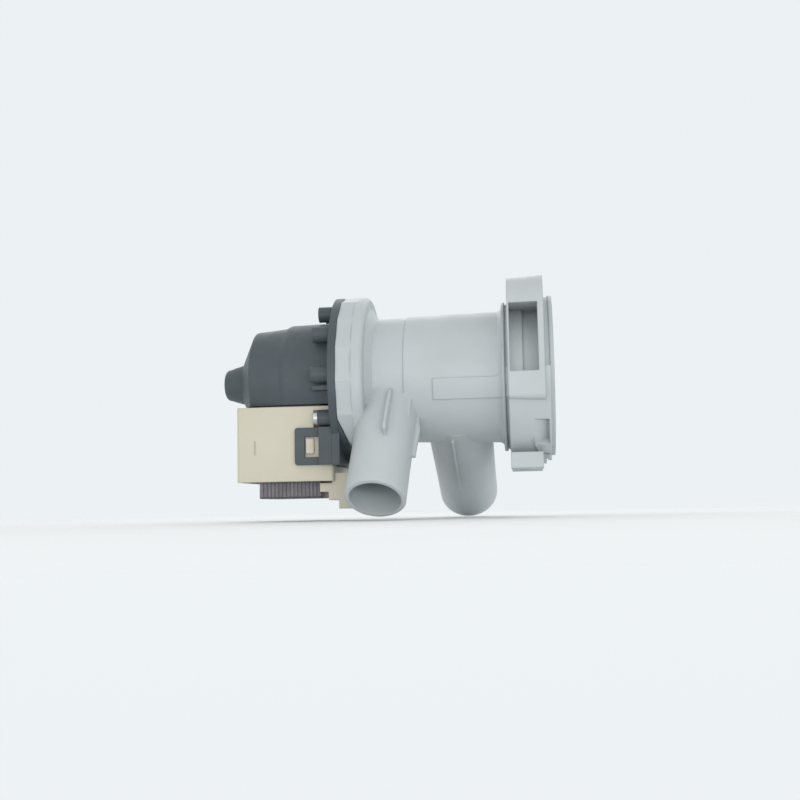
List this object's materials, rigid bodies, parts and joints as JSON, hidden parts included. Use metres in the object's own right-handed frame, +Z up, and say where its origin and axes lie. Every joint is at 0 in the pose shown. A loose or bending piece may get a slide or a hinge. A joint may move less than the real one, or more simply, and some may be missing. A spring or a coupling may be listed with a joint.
{
  "type": "washer drain pump",
  "caption": "Washer drain pump: filter housing with mouth bracket, inlet and outlet spigots, and a magnet rotor motor that drives an impeller.",
  "frame": {"origin": "centre of the mouth plane on the pump axis", "axes": "+X along the pump axis out of the mouth, +Z up, -Y towards the outlet's side"},
  "size_m": [0.1746, 0.1611, 0.1211],
  "materials": {
    "housing_plastic": "moulded polypropylene, pale grey, satin",
    "motor_plastic": "glass filled plastic, dark grey, matt",
    "coil_plastic": "moulded polyester, cream, satin",
    "core_steel": "stacked electrical sheet, bare edges",
    "tinned_brass": "tinned",
    "bobbin_plastic": "moulded",
    "copper": "enamelled wire",
    "protector_black": "sleeved",
    "seal_rubber": "moulded rubber",
    "steel": "zinc plated",
    "carrier_plastic": "moulded",
    "bearing_carbon": "sintered carbon",
    "washer_plastic": "slippery plastic",
    "ferrite": "sintered ferrite",
    "shaft_steel": "ground",
    "impeller_plastic": "moulded"
  },
  "bodies": {
    "root": {"pump_housing": "housing_plastic", "rotor_can": "motor_plastic", "stator_cover": "motor_plastic", "stator_core": "core_steel", "coil_cover": "coil_plastic", "terminal_blades": "tinned_brass", "bobbin_near": "bobbin_plastic", "bobbin_far": "bobbin_plastic", "winding_near": "copper", "winding_far": "copper", "thermal_protector": "protector_black", "housing_gasket": "seal_rubber", "cover_screws": "steel", "flange_screws": "steel", "bearing_carrier": "carrier_plastic", "carrier_seal": "seal_rubber", "front_bearing": "bearing_carbon", "rear_bearing": "bearing_carbon", "rear_bearing_sleeve": "seal_rubber", "shaft_seal": "seal_rubber", "front_thrust_washer": "washer_plastic", "rear_thrust_washer": "washer_plastic"},
    "rotor": {"rotor_shaft": "shaft_steel", "rotor_magnet": "ferrite", "magnet_core": "carrier_plastic", "drive_dog": "carrier_plastic", "retaining_clip": "steel"},
    "impeller": {"impeller": "impeller_plastic", "stop_pads": "seal_rubber", "hub_cover": "impeller_plastic"}
  },
  "joints": [
    {"name": "rotor_spin", "type": "hinge", "parent": "root", "child": "rotor", "pos_m": [-0.136, 0, 0], "axis": [1, 0, 0], "continuous": true},
    {"name": "impeller_play", "type": "hinge", "parent": "rotor", "child": "impeller", "pos_m": [-0.096, 0, 0], "axis": [1, 0, 0], "range_deg": [-45, 45]}
  ]
}
